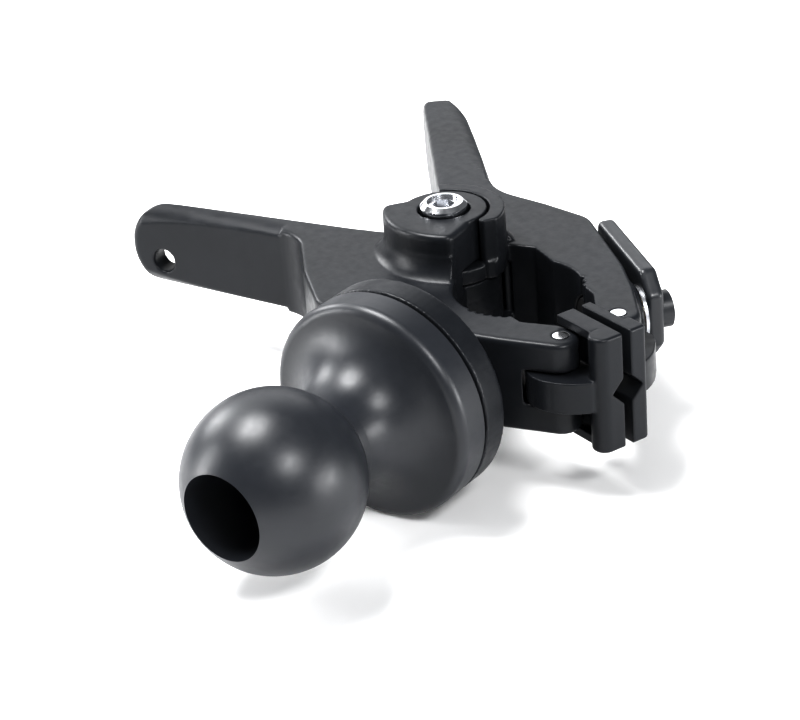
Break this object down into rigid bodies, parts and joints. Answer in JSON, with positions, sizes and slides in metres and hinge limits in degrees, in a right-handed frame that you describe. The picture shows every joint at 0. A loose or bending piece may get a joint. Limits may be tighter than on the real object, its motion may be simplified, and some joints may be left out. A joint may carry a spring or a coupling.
{
  "type": "phone mount",
  "caption": "Spring-loaded claw clamp for a handlebar with squeezing wings, swivelling tip pads, a tightening knob and a socket-ball stud that takes a phone holder.",
  "frame": {"origin": "centre of the rail opening between the closed jaws, halfway up the plates", "axes": "+Z along the rail and the hinge pin, towards the screw's head; +X to the jaw tips; +Y to the outer jaw with the knob; -Y to the inner jaw with the ball"},
  "size_m": [0.0998, 0.0999, 0.0326],
  "materials": {
    "charcoal_plastic": "glass-filled nylon, fine satin grain, charcoal",
    "ball_plastic": "smooth satin nylon, charcoal",
    "knob_cap_plastic": "satin nylon, charcoal",
    "shoe_rubber": "plain black rubber",
    "bright_steel": "bright plated steel",
    "plain_steel": "plain turned or drawn steel",
    "insert_brass": "plain turned brass"
  },
  "bodies": {
    "inner": {"inner_jaw": "charcoal_plastic", "ball_base": "ball_plastic", "ball_screw": "plain_steel", "ball_washer": "plain_steel", "ball_insert": "insert_brass", "pivot_screw": "bright_steel", "pivot_washer": "plain_steel", "pivot_sleeve": "plain_steel", "pivot_nut": "plain_steel", "torsion_spring": "plain_steel", "near_pad_pin": "bright_steel"},
    "outer": {"outer_jaw": "charcoal_plastic", "far_pad_pin": "bright_steel", "knob_insert": "insert_brass"},
    "near_pad": {"near_pad": "charcoal_plastic"},
    "far_pad": {"far_pad": "charcoal_plastic"},
    "shoe": {"thrust_shoe": "shoe_rubber"},
    "knob": {"lever_knob": "charcoal_plastic", "knob_cap": "knob_cap_plastic", "knob_screw": "plain_steel", "knob_washer": "plain_steel"}
  },
  "joints": [
    {"name": "jaw_pivot", "type": "hinge", "parent": "inner", "child": "outer", "pos_m": [-0.0177, 0, 0], "axis": [0, 0, 1], "range_deg": [0, 32], "stiffness_Nm_per_rad": 0.4, "springref_deg": -14.32, "deforming": ["torsion_spring"]},
    {"name": "near_pad_pivot", "type": "hinge", "parent": "inner", "child": "near_pad", "pos_m": [0.0168, -0.0052, 0], "axis": [0, 0, 1], "range_deg": [-20, 0]},
    {"name": "far_pad_pivot", "type": "hinge", "parent": "outer", "child": "far_pad", "pos_m": [0.0168, 0.0052, 0], "axis": [0, 0, 1], "range_deg": [0, 20]},
    {"name": "shoe_slide", "type": "slide", "parent": "outer", "child": "shoe", "axis": [0.3289, 0.9444, 0], "range_m": [0, 0.0024]},
    {"name": "knob_turn", "type": "hinge", "parent": "shoe", "child": "knob", "pos_m": [0.00902, 0.0198, 0], "axis": [0.3289, 0.9444, 0], "range_deg": [0, 1080]}
  ],
  "couplings": [
    {"joint": "shoe_slide", "follows": "knob_turn", "m_per_rad": 0.00012732}
  ]
}
